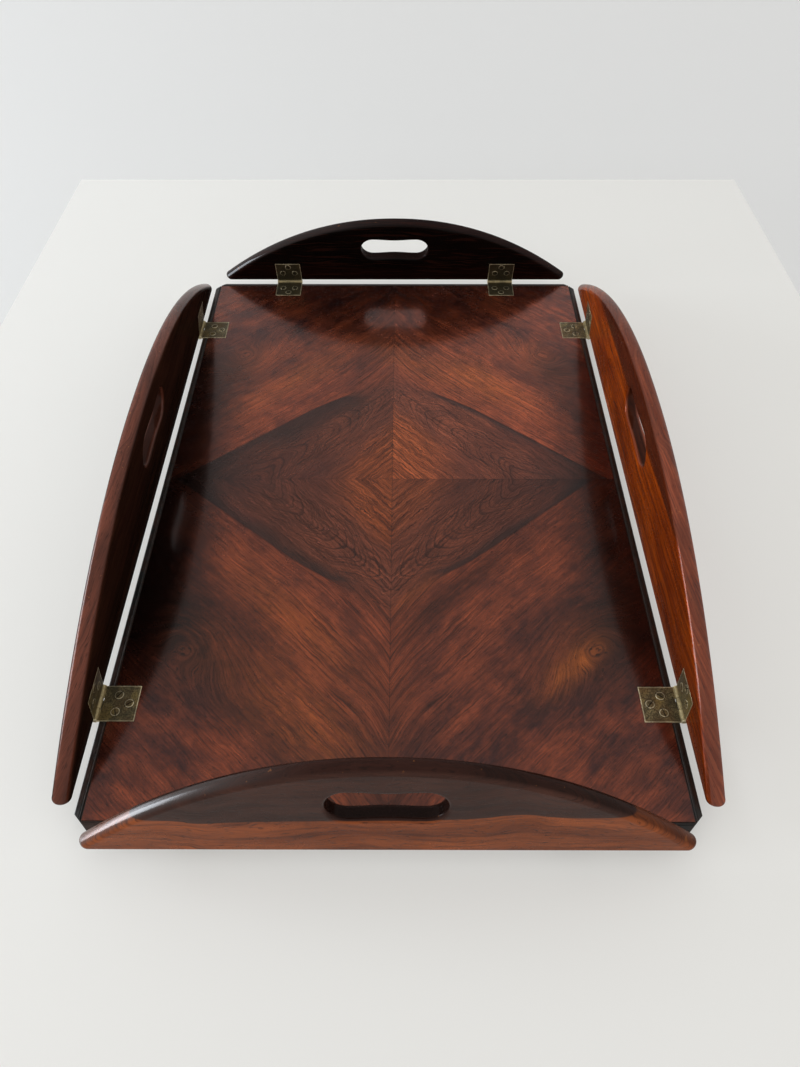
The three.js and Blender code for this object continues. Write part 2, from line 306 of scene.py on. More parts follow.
# Camera, fitted to the photograph's view of the panel and its leaves
view = {
    "location": (0.01108, -0.60742, 0.6376),
    "tilt": 40.44,
    "yaw": 0.27,
    "roll": -0.13,
    "focalPixels": 800,
    "imageHeight": 1067,
    "sensor": 36,
    "clipStart": 0.01,
}


def addCamera():
    camera = bpy.data.objects.new("camera", bpy.data.cameras.new("camera"))
    scene.collection.objects.link(camera)
    camera.data.sensor_width = view["sensor"]
    camera.data.lens = view["focalPixels"] / view["imageHeight"] * view["sensor"]
    camera.data.clip_start = view["clipStart"]
    camera.matrix_world = Matrix.Translation(view["location"])
    for angle, axis in (("yaw", "Z"), ("tilt", "X"), ("roll", "Z")):
        camera.matrix_world = camera.matrix_world @ Matrix.Rotation(math.radians(view[angle]), 4, axis)
    scene.camera = camera


addCamera()
print("camera placed")


# A number, a vector or a colour on its way through a node tree. Sums and products of numbers become
# Math nodes, and a product that something is added to takes one node for both. It stands left of any
# plain number.
class Value:
    def __init__(self, tree, made=None, factors=None):
        self.tree = tree
        self.made = made
        self.factors = factors

    @property
    def socket(self):
        if self.made is None:
            self.made = self.factors[0].maths("MULTIPLY", self.factors[1]).made
        return self.made

    def maths(self, operation, *others):
        inputs = dict(enumerate((self, *others)))
        return addValue(self.tree, "Math", inputs, operation=operation)

    def __mul__(self, other):
        return Value(self.tree, factors=(self, other))

    def __add__(self, other):
        if self.factors:
            return self.factors[0].maths("MULTIPLY_ADD", self.factors[1], other)
        if isinstance(other, Value) and other.factors:
            return other.factors[0].maths("MULTIPLY_ADD", other.factors[1], self)
        return self.maths("ADD", other)

    def __sub__(self, other):
        if isinstance(other, Value):
            return self.maths("SUBTRACT", other)
        return self + -other

    def __truediv__(self, other):
        if isinstance(other, Value):
            return self.maths("DIVIDE", other)
        return self * (1 / other)

    def __abs__(self):
        return self.maths("ABSOLUTE")


def feed(node, inputs):
    for key, value in inputs.items():
        if isinstance(value, Value):
            node.id_data.links.new(value.socket, node.inputs[key])
        else:
            node.inputs[key].default_value = value


def addNode(tree, kind, inputs, **settings):
    node = tree.nodes.new("ShaderNode" + kind)
    for key, value in settings.items():
        setattr(node, key, value)
    feed(node, inputs)
    return node


def addValue(tree, kind, inputs, output=0, **settings):
    node = addNode(tree, kind, inputs, **settings)
    return Value(tree, node.outputs[output])


def combine(x, y):
    return addValue(x.tree, "CombineXYZ", {0: x, 1: y})


def separate(vector):
    node = addNode(vector.tree, "SeparateXYZ", {0: vector})
    return [Value(vector.tree, output) for output in node.outputs]


# A soft step: the value's range from low to high becomes toLow to toHigh.
def ease(value, low, high, toLow=0.0, toHigh=1.0):
    inputs = {"Value": value, "From Min": low, "From Max": high, "To Min": toLow, "To Max": toHigh}
    return addValue(value.tree, "MapRange", inputs, interpolation_type="SMOOTHSTEP")


def bell(squared):
    return (squared * -0.5).maths("EXPONENT")


# Noise with its scale, detail and roughness
def noise(vector, scale, detail, rough, seed=None):
    inputs = {"Vector": vector, "Scale": scale, "Detail": detail, "Roughness": rough}
    if seed is None:
        return addValue(vector.tree, "TexNoise", inputs, "Fac")
    inputs["W"] = seed
    return addValue(vector.tree, "TexNoise", inputs, "Fac", noise_dimensions="4D")


def blend(factor, a, b):
    return addValue(factor.tree, "Mix", {0: factor, 2: a, 3: b})


def mixColor(factor, a, b):
    return addValue(factor.tree, "Mix", {0: factor, 6: a, 7: b}, 2, data_type="RGBA")


# Lays a tone over a colour
def over(colour, factor, tone):
    return mixColor(factor, colour, (*tone, 1))


def between(factor, a, b):
    return mixColor(factor, (*a, 1), (*b, 1))


def lighten(colour, factor):
    return addValue(factor.tree, "HueSaturation", {"Color": colour, "Value": factor}, "Color")


def newMaterial(name, fixed):
    material = bpy.data.materials.new(name)
    material.use_nodes = True
    shader = material.node_tree.nodes["Principled BSDF"]
    feed(shader, fixed)
    return material, material.node_tree, shader


def newGroup(name, inputs, outputs):
    group = bpy.data.node_groups.new(name, "ShaderNodeTree")
    for label, kind in inputs.items():
        group.interface.new_socket(label, in_out="INPUT", socket_type="NodeSocket" + kind)
    for label in outputs:
        group.interface.new_socket(label, in_out="OUTPUT", socket_type="NodeSocketFloat")
    enter = group.nodes.new("NodeGroupInput")
    return group, {socket.name: Value(group, socket) for socket in enter.outputs}


def closeGroup(group, results):
    feed(group.nodes.new("NodeGroupOutput"), results)
    return group


def useGroup(tree, group, inputs):
    node = addNode(tree, "Group", inputs, node_tree=group)
    return {socket.name: Value(tree, socket) for socket in node.outputs}


# Stage: a pale table, a pale wall behind it and soft light from the left
stageLook = {
    "table": {"colour": (0.86, 0.85, 0.822), "seen": (0.78, 0.775, 0.75), "share": 0.45, "rough": 0.6},
    "wall": {"colour": (0.80, 0.80, 0.79), "seen": (0.70, 0.70, 0.695), "share": 0.65, "rough": 0.8},
    "tableLow": (-0.53, -1.5, -0.04),
    "tableHigh": (0.567, 0.718, 0),
    "planes": (
        ("back_wall", 2.8, (0, 0.95, 0), (math.pi / 2, 0, 0)),
        ("floor", 8, (0, 0, -0.75), (0, 0, 0)),
    ),
}
sky = {"Color": (1, 0.99, 0.97, 1), "Strength": 0.83}
lamps = {
    "window": {
        "from": (-2.4, 0.05, 0.62),
        "to": (0, 0, 0),
        "size": (1.3, 0.9),
        "power": 38,
        "colour": (0.84, 0.92, 1),
    },
    "low_window": {
        "from": (-2.2, 0.3, 0.06),
        "to": (0, 0, 0.05),
        "size": (1.5, 0.4),
        "power": 8,
        "colour": (0.80, 0.90, 1),
    },
}


# A stage surface that is seen partly in its plain colour, directly or mirrored. From behind it is clear.
def makeStageFinish(name):
    look = stageLook[name]
    fixed = {"Base Color": (*look["colour"], 1), "Roughness": look["rough"]}
    material, tree, shader = newMaterial("stage_" + name, fixed)
    path = addNode(tree, "LightPath", {}).outputs
    seen = Value(tree, path["Is Camera Ray"]).maths("MAXIMUM", Value(tree, path["Is Glossy Ray"]))
    plain = addValue(tree, "Emission", {"Color": (*look["seen"], 1), "Strength": 1.0})
    lit = Value(tree, shader.outputs["BSDF"])
    mixed = addValue(tree, "MixShader", {0: seen * look["share"], 1: lit, 2: plain})
    behind = addValue(tree, "NewGeometry", {}, "Backfacing")
    clear = addValue(tree, "BsdfTransparent", {})
    mixed = addValue(tree, "MixShader", {0: behind, 1: mixed, 2: clear})
    feed(tree.nodes["Material Output"], {"Surface": mixed})
    return material


def addStage():
    deselect()
    table = addBox(stageLook["tableLow"], stageLook["tableHigh"], "table_top")
    table.data.materials.append(makeStageFinish("table"))
    wallFinish = makeStageFinish("wall")
    for name, size, spot, turn in stageLook["planes"]:
        bpy.ops.mesh.primitive_plane_add(size=size, location=spot, rotation=turn)
        plane = bpy.context.object
        plane.name = name
        plane.data.materials.append(wallFinish)


def addLamp(name):
    look = lamps[name]
    lamp = bpy.data.objects.new(name, bpy.data.lights.new(name, "AREA"))
    lamp.data.shape = "RECTANGLE"
    lamp.data.size, lamp.data.size_y = look["size"]
    lamp.data.energy = look["power"]
    lamp.data.color = look["colour"]
    lamp.location = look["from"]
    aim = Vector(look["to"]) - Vector(look["from"])
    lamp.rotation_euler = aim.to_track_quat("-Z", "Y").to_euler()
    lamp.visible_camera = False
    scene.collection.objects.link(lamp)


def addSky():
    world = bpy.data.worlds.new("room")
    world.use_nodes = True
    feed(world.node_tree.nodes["Background"], sky)
    scene.world = world


addStage()
addSky()
for lampName in lamps:
    addLamp(lampName)
scene.view_settings.view_transform = "Standard"
print("stage and light ready")

# Materials. Every noise is given as scale, detail and roughness, with two stretches before them where it is
# stretched. Every fade is given as the range of its input and the values at the ends, and every slope as
# times and plus.


# The scale counts for the seed as well, so it stays apart from the stretches.
def stretchedNoise(a, b, settings, seed):
    stretchA, stretchB, *others = settings
    return noise(combine(a * stretchA, b * stretchB), *others, seed)


def slope(value, line):
    times, plus = line
    return value * times + plus


# Streaks, pores and slow changes of tone along a grain. Across and Along are millimetres in the board.
grainBands = {
    "Tone": {"noise": (1 / 30, 1 / 110, 1, 2, 0.5), "fade": (0.33, 0.67)},
    "Streak": {"noise": (1 / 6, 1 / 170, 1, 5, 0.68), "fade": (0.34, 0.66)},
    "Stripe": {"noise": (1 / 2.6, 1 / 90, 1, 2, 0.65), "fade": (0.38, 0.62)},
    "Line": {"noise": (1 / 1.5, 1 / 60, 1, 2, 0.6), "fade": (0.53, 0.64)},
    "Fibre": {"noise": (1 / 0.8, 1 / 22, 1, 2, 0.6), "fade": (0.3, 0.7)},
    "Pore": {"noise": (1 / 0.45, 1 / 6, 1, 0, 0.5), "fade": (0.64, 0.72)},
}


def makeGrainGroup():
    inputs = {"Across": "Float", "Along": "Float", "Seed": "Float"}
    group, enter = newGroup("wood_grain", inputs, grainBands)
    results = {}
    for label, band in grainBands.items():
        value = stretchedNoise(enter["Across"], enter["Along"], band["noise"], enter["Seed"])
        results[label] = ease(value, *band["fade"])
    return closeGroup(group, results)


# What years of polish and handling leave: smears in the gloss, a soft ripple and fine scratches
polishLook = {
    "smear": (0.012, 3, 0.6),
    "fine": (0.16, 2, 0.6),
    "fineShare": 0.35,
    "fade": (0.5, 0.85),
    "ripple": (0.035, 1, 0.5),
}


def makePolishGroup():
    look = polishLook
    inputs = {"Place": "Vector", "Low": "Float", "High": "Float"}
    group, enter = newGroup("old_polish", inputs, ("Roughness", "Ripple"))
    smear, fine, ripple = (noise(enter["Place"], *look[key]) for key in ("smear", "fine", "ripple"))
    amount = ease(fine * look["fineShare"] + smear, *look["fade"])
    rough = amount * (enter["High"] - enter["Low"]) + enter["Low"]
    return closeGroup(group, {"Roughness": rough, "Ripple": ripple})


# Small knocks: pale nicks where the polish is chipped, and darker smudges
wearLook = {
    "chips": (0.3, 1, 0.5),
    "where": (0.035, 1, 0.5),
    "whereShare": 0.35,
    "nickFade": (0.9, 0.96),
    "smear": (0.06, 3, 0.6),
    "smudgeFade": (0.4, 0.66),
}


def makeWearGroup():
    look = wearLook
    group, enter = newGroup("small_wear", {"Place": "Vector", "Seed": "Float"}, ("Nick", "Smudge"))
    found = {key: noise(enter["Place"], *look[key], enter["Seed"]) for key in ("chips", "where", "smear")}
    nick = ease(found["where"] * look["whereShare"] + found["chips"], *look["nickFade"])
    return closeGroup(group, {"Nick": nick, "Smudge": ease(found["smear"], *look["smudgeFade"])})


grainGroup = makeGrainGroup()
polishGroup = makePolishGroup()
wearGroup = makeWearGroup()

# Height in metres that a full step of a bump's input stands for
bumpStep = {"fibre": 0.00002, "pore": 0.00005, "ripple": 0.0009, "pit": 0.00008}
figureShare = {"Streak": 0.6, "Tone": 0.4}
noiseMiddle = 0.5


def bump(height, distance, normal=None):
    inputs = {"Height": height, "Distance": distance, "Strength": 1.0}
    if normal:
        inputs["Normal"] = normal
    return addValue(height.tree, "Bump", inputs, "Normal")


def inMillimetres(tree):
    place = addValue(tree, "TexCoord", {}, "Object")
    return addValue(tree, "VectorMath", {0: place, "Scale": 1 / mm}, operation="SCALE")


def asDrawn(tree):
    return addValue(tree, "Attribute", {}, "Vector", attribute_name="drawn")


def figureOf(grain):
    return grain["Streak"] * figureShare["Streak"] + grain["Tone"] * figureShare["Tone"]


def polishedWood(shader, place, pore, gloss, lift):
    low, high = gloss
    polish = useGroup(place.tree, polishGroup, {"Place": place, "Low": low, "High": high})
    normal = bump(polish["Ripple"], bumpStep["ripple"])
    normal = bump(lift, bumpStep["fibre"], normal)
    normal = bump(pore * -1, bumpStep["pore"], normal)
    feed(shader, {"Roughness": polish["Roughness"], "Normal": normal})


# Veneer: four mirrored quarters about a diamond. Inside it the lines rise in nested arches,
# outside it they run slanting to the corners round an oval knot.
veneerLook = {
    "shader": {"Metallic": 0.8, "Coat Weight": 0.45, "Coat Roughness": 0.13, "Specular IOR Level": 0.12},
    "gloss": (0.2, 0.29),
    "diamondAngle": math.radians(46.3),
    "fieldAngle": math.radians(43.5),
    "archSlope": 2.6,
    "archRound": 9,
    "archWander": 34,
    "archWobble": 10,
    "archCrinkle": 4,
    "limbBend": 20,
    "limbCurve": 0.12,
    "ringStart": 200,
    "ringStretch": 0.4,
    "ringSpacing": 8,
    "ringUneven": 22,
    "bendHeight": 20,
    "bendReach": 25,
    "knot": (272, -22),
    "knotSize": (20, 34),
    "knotLift": 34,
    "knotGlow": 0.4,
    "fieldWander": 12,
    "fieldWobble": 2,
    "fieldBlotch": 0.62,
    "fieldStreak": 0.34,
    "edge": 149.4,
    "edgeSlope": 0.118,
    "edgeCurve": 0.00158,
    "steepLift": 15,
    "steepReach": 12,
    "innerWander": 9,
    "innerWobble": 7,
    "innerCrinkle": 2,
    "softWander": 60,
    "stripWander": 3,
    "innerLine": 0.8,
    "pore": 0.65,
    "outerStripe": 0.13,
    "stripeLevel": 0.97,
}
veneerTones = {
    "base": (0.155, 0.034, 0.012),
    "bright": (0.42, 0.100, 0.030),
    "glow": (0.345, 0.075, 0.030),
    "band": (0.27, 0.070, 0.034),
    "bandDark": (0.135, 0.038, 0.022),
    "dark": (0.036, 0.010, 0.0060),
    "grey": (0.050, 0.021, 0.0165),
    "plum": (0.062, 0.018, 0.015),
    "ink": (0.0085, 0.0035, 0.0025),
    "fleck": (0.42, 0.15, 0.04),
    "orange": (0.50, 0.125, 0.022),
}
veneerNoise = {
    "wander": (1, 1, 0.016, 2, 0.5),
    "wobble": (1, 1, 0.09, 2, 0.5),
    "crinkle": (1, 1, 0.3, 1, 0.5),
    "uneven": (0.045, 0.006, 1, 1, 0.5),
    "faint": (0.3, 0.02, 1, 2, 0.5),
    "blotch": (1 / 46, 1 / 78, 1, 3, 0.6),
    "cloud": (1 / 46, 1 / 78, 3.4, 5, 0.68),
    "breaks": (1 / 5, 1 / 22, 1, 3, 0.6),
    "fleck": (1, 0.12, 0.9, 1, 0.5),
}
veneerFades = {
    "outside": (-1, 1),
    "flank": (-16, 14, 1, 0),
    "flankReach": (26, 78, 1, 0.12),
    "ringRise": (0.45, 0.9),
    "ringFall": (0.9, 1, 1, 0),
    "ringReach": (26, 44, 1, 0),
    "faint": (0.36, 0.6),
    "heart": (-10, 45),
    "strip": (-1.8, -0.2, 0, 0.92),
    "stripStart": (8, 55),
    "tip": (70, 140, 0, 0.75),
    "blotch": (0.32, 0.68),
    "cloud": (0.34, 0.66, -0.24, 0.24),
    "near": (195, 250, 0.4, 0.08),
    "seam": (4, 60, 0.36, 0),
    "haze": (20, 62, 26, 1),
    "outerLine": (30, 110, 0.75, 0.5),
    "fleck": (0.77, 0.83, 0, 0.16),
    # side and sideEnds: painted shade by the side leaves, strongest midway along the long sides
    "side": (140, 236),
    "sideEnds": (190, 290, 1, 0),
    "edgeLine": (0.3, 1.9, 1, 0),
    "edgeLineStart": (26, 60),
    "joint": (0.08, 0.45, 0.6, 0),
}
veneerSlopes = {
    "ringDark": (0.66, 0.14),
    "heart": (0.5, 0.2),
    "tip": (0.5, 0.5),
    "breaks": (2.2, -0.35),
    "fibre": (0.5, 0.75),
    # back: painted sheen, the field's front half a little darker than its back
    "back": (0.04, 0.955),
    "flankStripe": (0.16, 0.16),
}

# A value for each quarter: its middle, and what the right half, the back half and the right back corner add
veneerQuarters = {
    "seed": (3.0, 0.07, 0.12, 0.04),
    "archMiddle": (104, -0.8, 2.5),
    "edge": (-2.5, -2.5, 2.5, 2.5),
    "flankEnd": (66, 3, 3, 8),
    "flank": (0.92, -0.08, 0.06, 0.06),
    "stripWidth": (13, -6, 3, -4),
    "ink": (0.1, -0.05, 0.03, -0.03),
    # level: painted sheen, each quarter lighter or darker as it catches the light
    "level": (0.98, 0.05, 0.14, 0.08),
    # side: how strong the painted shade by the side leaves is in each quarter
    "side": (0.79, -0.06, -0.05),
    "edgeLine": (0.42, 0.08, 0.04, 0.1),
}

# A few marks: where, how far along and across the grain, how strong, which tone. Most are the veneer's own
# figure; the four dark ones about 190 mm out to each side and 190 mm towards each end also deepen the painted
# shade by the side leaves
veneerMarks = (
    ((50, -107), (30, 5), 0.7, "orange"),
    ((24, -150), (20, 5), 0.5, "orange"),
    ((112, 162), (46, 17), 0.5, "orange"),
    ((-120, 170), (60, 14), 0.28, "orange"),
    ((-88, -186), (60, 16), 0.4, "orange"),
    ((192, 190), (24, 12), 0.7, "dark"),
    ((-196, 186), (22, 12), 0.5, "dark"),
    ((-188, -194), (76, 34), 1.0, "dark"),
    ((196, -200), (56, 26), 0.75, "dark"),
    ((-70, -290), (60, 26), 0.4, "orange"),
    ((72, -140), (60, 7), 0.6, "dark"),
    ((40, -176), (50, 10), 0.5, "dark"),
    ((150, -180), (50, 12), 0.4, "plum"),
    ((-30, 208), (40, 12), 0.4, "dark"),
    ((170, -229), (26, 8), 1.0, "orange"),
    ((196, -236), (16, 6), 0.7, "dark"),
    ((28, 196), (50, 16), 0.35, "orange"),
)


def makeVeneer():
    look, tone = veneerLook, veneerTones
    material, tree, shader = newMaterial("figured_veneer", look["shader"])
    place = inMillimetres(tree)
    x, y, _ = separate(place)
    u, v = abs(x), abs(y)
    right, back = x.maths("SIGN"), y.maths("SIGN")
    signs = (right, back, right * back)

    def byQuarter(label):
        value, *steps = veneerQuarters[label]
        for sign, step in zip(signs, steps):
            value = sign * step + value
        return value

    def fade(value, label):
        return ease(value, *veneerFades[label])

    seed = byQuarter("seed")

    def figureNoise(a, b, label):
        return stretchedNoise(a, b, veneerNoise[label], seed)

    keys = ("wander", "wobble", "crinkle")
    wander, wobble, crinkle = (figureNoise(u, v, key) - noiseMiddle for key in keys)

    # Across and along the diamond's edge
    sine, cosine = math.sin(look["diamondAngle"]), math.cos(look["diamondAngle"])
    across = u * sine + v * cosine
    along = u * cosine + v * -sine
    off = wander * look["archWander"] + (across - byQuarter("archMiddle"))
    limb = (off * off + look["archRound"] ** 2).maths("SQRT")
    spread = (limb - look["limbBend"]).maths("MAXIMUM", 0)
    arch = limb * look["archSlope"] + (along * -1 + look["ringStart"])
    arch = spread * spread * look["limbCurve"] + arch
    arch = wobble * look["archWobble"] + arch
    arch = crinkle * look["archCrinkle"] + arch
    ring = arch * look["ringStretch"]

    # The field outside it
    sine, cosine = math.sin(look["fieldAngle"]), math.cos(look["fieldAngle"])
    bend = (u / -look["bendReach"]).maths("EXPONENT")
    lifted = bend * -look["bendHeight"] + v
    fieldAcross = u * sine + lifted * cosine
    fieldAlong = u * cosine + lifted * -sine
    knotAway = 0.0
    for value, centre, size in zip((across, along), look["knot"], look["knotSize"]):
        step = (value - centre) / size
        knotAway = step * step + knotAway
    knot = bell(knotAway)
    fieldAcross = knot * look["knotLift"] + fieldAcross
    fieldAcross = wander * look["fieldWander"] + fieldAcross
    fieldAcross = wobble * look["fieldWobble"] + fieldAcross

    # The diamond's edge: beyond is the distance past it
    inward = along.maths("MINIMUM", 0)
    edge = inward * inward * -look["edgeCurve"] + look["edge"]
    edge = along * look["edgeSlope"] + edge + byQuarter("edge")
    steep = (u / -look["steepReach"]).maths("EXPONENT")
    beyond = steep * -look["steepLift"] + (across - edge)
    outside = fade(beyond, "outside")
    board = {"Along": blend(outside, along, fieldAlong), "Seed": seed}
    grain = useGroup(tree, grainGroup, {**board, "Across": blend(outside, ring, fieldAcross)})
    innerAcross = wobble * look["innerWobble"] + (wander * look["innerWander"] + across)
    innerAcross = crinkle * look["innerCrinkle"] + innerAcross
    fine = useGroup(tree, grainGroup, {**board, "Across": blend(outside, innerAcross, fieldAcross)})

    # Inside: bright flanks round the centre, a darker band of arches, a grey strip by the edge
    figure = figureOf(grain)
    softAcross = wander * look["softWander"] + across
    flank = fade(softAcross - byQuarter("flankEnd"), "flank") * fade(u, "flankReach") * byQuarter("flank")
    rings = figureNoise(arch, along, "uneven") * look["ringUneven"] + arch
    late = (rings / look["ringSpacing"]).maths("FRACT")
    ringLine = fade(late, "ringRise") * fade(late, "ringFall") * fade(abs(off), "ringReach")
    faint = fade(figureNoise(ring, along, "faint"), "faint")
    band = between(figure, tone["bandDark"], tone["band"])
    band = over(band, ringLine * slope(faint, veneerSlopes["ringDark"]), tone["dark"])
    band = over(band, fade(along, "heart") * slope(grain["Tone"], veneerSlopes["heart"]), tone["plum"])
    inner = mixColor(flank, band, between(figure, tone["base"], tone["bright"]))
    stripDepth = wander * look["stripWander"] + beyond / byQuarter("stripWidth")
    inner = over(inner, fade(stripDepth, "strip") * fade(u, "stripStart"), tone["grey"])
    inner = over(inner, fade(along, "tip") * slope(faint, veneerSlopes["tip"]), tone["grey"])
    inner = over(inner, byQuarter("ink"), tone["ink"])

    # Outside: bright beside the edge, darker and plum towards the corners, blotched along the grain
    blotch, cloud = (fade(figureNoise(fieldAcross, fieldAlong, key), key) for key in ("blotch", "cloud"))
    glow = cloud + (blotch * look["fieldBlotch"] + fade(softAcross, "near"))
    field = between(glow, tone["plum"], tone["glow"])
    field = over(field, grain["Streak"] * look["fieldStreak"], tone["plum"])
    field = over(field, knot * look["knotGlow"], tone["bright"])
    breaks = slope(figureNoise(fieldAcross, fieldAlong, "breaks"), veneerSlopes["breaks"])
    for (markX, markY), (long, wide), strength, label in veneerMarks:
        away = 0.0
        for wayX, wayY, size in ((sine, cosine, wide), (cosine, -sine, long)):
            stepX = math.copysign(1, markX) * wayX / size
            stepY = math.copysign(1, markY) * wayY / size
            step = x * stepX + (y * stepY - (markX * stepX + markY * stepY))
            away = step * step + away
        field = over(field, bell(away) * breaks * strength, tone[label])
    field = over(field, fade(u, "seam") * grain["Streak"], tone["dark"])
    outside = fade(beyond / fade(u, "haze"), "outside")
    colour = mixColor(outside, inner, field)

    # Lines, pores and pale flecks on all of it
    lineShare = blend(outside, look["innerLine"], fade(u, "outerLine"))
    colour = over(colour, fine["Line"] * lineShare, tone["dark"])
    colour = over(colour, fine["Pore"] * look["pore"], tone["ink"])
    colour = over(colour, fade(figureNoise(fieldAcross, fieldAlong, "fleck"), "fleck"), tone["fleck"])
    stripeDepth = blend(outside, slope(flank, veneerSlopes["flankStripe"]), look["outerStripe"])
    stripe = (fine["Stripe"] - noiseMiddle) * stripeDepth
    # The fibres lighten and darken the colour; on top of that, painted sheen makes each quarter, and the
    # front and back of the field, lighter or darker as they catch the light
    level = slope(fine["Fibre"], veneerSlopes["fibre"]) * byQuarter("level")
    level = level * blend(outside, 1, slope(back, veneerSlopes["back"]))
    level = level * (stripe + look["stripeLevel"]) * (stripe + 1)
    colour = lighten(colour, level)
    # Painted shade: darker towards both long sides, most midway along them, where the side leaves shade the
    # panel and show dark in its gloss
    paintedSideShade = fade(wander * look["softWander"] + u, "side") * fade(v, "sideEnds") * byQuarter("side")
    colour = over(colour, paintedSideShade, tone["ink"])
    edgeLine = fade(abs(beyond), "edgeLine") * byQuarter("edgeLine") * fade(u, "edgeLineStart")
    colour = over(colour, edgeLine, tone["ink"])
    colour = over(colour, fade(u.maths("MINIMUM", v), "joint"), tone["ink"])
    feed(shader, {"Base Color": colour})
    polishedWood(shader, place, fine["Pore"], look["gloss"], fine["Fibre"])
    return material


veneerFinish = makeVeneer()
print("veneer finish made")

leafSizes = {
    "thickness": 15,
    "gap": 3.5,
    "archPower": 2.1,
    "tipRadius": 3.2,
    "footArris": 0.8,
    "archSteps": 64,
    "tipSteps": 8,
    "bullSteps": 14,
    "slotWaist": 1.5,
    "slotRound": 3.5,
    "slotRoundSteps": 6,
    "slotEndSteps": 24,
    "slotSideSteps": 10,
    "searchSteps": 40,
}
leafShapes = {
    True: {"inset": 5.5, "height": 96.5, "slot": (89, 32, 37), "shift": 0},
    False: {"inset": 9, "height": 118, "slot": (102, 36, 52), "shift": 3.5},
}


def archCurve(height, reach):
    return lambda x: height * (1 - (abs(x) / reach) ** leafSizes["archPower"])


# Where a round tip sits between the straight foot and the arch
def tipCentre(curve, reach, radius):
    steps = leafSizes["searchSteps"]
    low, high = reach / 2, reach
    for _ in range(steps):
        middle = (low + high) / 2
        spots = [middle + (reach - middle) * s / steps for s in range(steps + 1)]
        least = min(math.hypot(x - middle, curve(x) - radius) for x in spots)
        if curve(middle) > radius and least > radius:
            low = middle
        else:
            high = middle
    return low


# Outline of a leaf seen from inside the tray, drawn in from its full arch
def leafOutline(length, height, inset, footInset):
    tip = leafSizes["tipRadius"]
    slope = math.atan(height * leafSizes["archPower"] / (length / 2))
    reach = length / 2 + tip * (1 / math.tan(slope / 2) - 1) - inset / math.sin(slope)
    curve = archCurve(height - inset, reach)
    radius = tip - inset * (1 / math.sin(slope) - 1) / (1 / math.tan(slope / 2) - 1)
    centre = tipCentre(curve, reach, radius)
    half = []
    for s in range(leafSizes["tipSteps"] + 1):
        angle = -math.pi / 2 + (math.pi - slope) * s / leafSizes["tipSteps"]
        half.append((centre + radius * math.cos(angle), footInset + radius * (1 + math.sin(angle))))
    start, rise = half[-1]
    steps = leafSizes["archSteps"] // 2
    for s in range(1, steps + 1):
        x = start * math.cos(math.pi / 2 * s / steps)
        half.append((x, max(curve(x), rise)))
    return half + [(-x, z) for x, z in reversed(half[:-1])]


# Outline of a hand slot with round ends and a slight waist, grown by an allowance
def slotOutline(slot, shift, grow):
    length, height, rise = slot
    radius = height / 2 + grow
    straight = length - height
    middle = rise + height / 2
    outline = []
    for way in (1, -1):
        for s in range(leafSizes["slotEndSteps"] + 1):
            angle = -math.pi / 2 + math.pi * s / leafSizes["slotEndSteps"]
            across = straight / 2 + radius * math.cos(angle)
            outline.append((shift + way * across, middle + way * radius * math.sin(angle)))
        for s in range(1, leafSizes["slotSideSteps"]):
            along = straight * (0.5 - s / leafSizes["slotSideSteps"])
            waist = leafSizes["slotWaist"] * math.cos(math.pi * along / straight) ** 2
            outline.append((shift + way * along, middle + way * (radius - waist)))
    return outline


# A leaf in its own frame: X along it, Y outwards through its thickness, Z up from the pin
def makeLeaf(sideName, side):
    shape = leafShapes[side["end"]]
    length = 2 * (side["halfRun"] - shape["inset"])
    shift = {"left": 1, "right": -1}.get(sideName, 0) * shape["shift"]
    bull = leafSizes["thickness"] / 2
    outer, slot = [], []
    for s in range(leafSizes["bullSteps"] + 1):
        angle = math.pi * s / leafSizes["bullSteps"]
        footInset = leafSizes["footArris"] * (1 - math.sin(angle)) ** 2
        outline = leafOutline(length, shape["height"], bull * (1 - math.sin(angle)), footInset)
        outer.append([(x, bull * (1 - math.cos(angle)), z + leafSizes["gap"]) for x, z in outline])
    steps, rounding = leafSizes["slotRoundSteps"], leafSizes["slotRound"]
    for s in range(2 * steps + 2):
        angle = math.pi / 2 * min(s, 2 * steps + 1 - s) / steps
        depth = rounding * (1 - math.cos(angle))
        y = depth if s <= steps else leafSizes["thickness"] - depth
        outline = slotOutline(shape["slot"], shift, rounding * (1 - math.sin(angle)))
        slot.append([(x, y, z + leafSizes["gap"]) for x, z in outline])
    leaf = drawLoops("leaf", outer + slot)
    outerCounts = [len(loop) for loop in outer]
    bridgeLoops(leaf, outerCounts, 0)
    bridgeLoops(leaf, [len(loop) for loop in slot], sum(outerCounts))
    for depth in (0, leafSizes["thickness"]):
        editing(leaf)
        selectVertices(leaf, lambda point: abs(point.y - depth) < planeReach)
        bpy.ops.mesh.fill()
        doneEditing()
    outward(leaf)
    gains = []
    half = hinge["length"] / 2 + hinge["seat"]
    for along, _ in hingePlaces(side):
        high = (along + half, hinge["plate"] + hinge["seat"], hinge["leafReach"] + hinge["seat"])
        gains.append(addBox((along - half, -past, -past), high))
    boolean(leaf, gains)
    smooth(leaf, "wood")
    return leaf


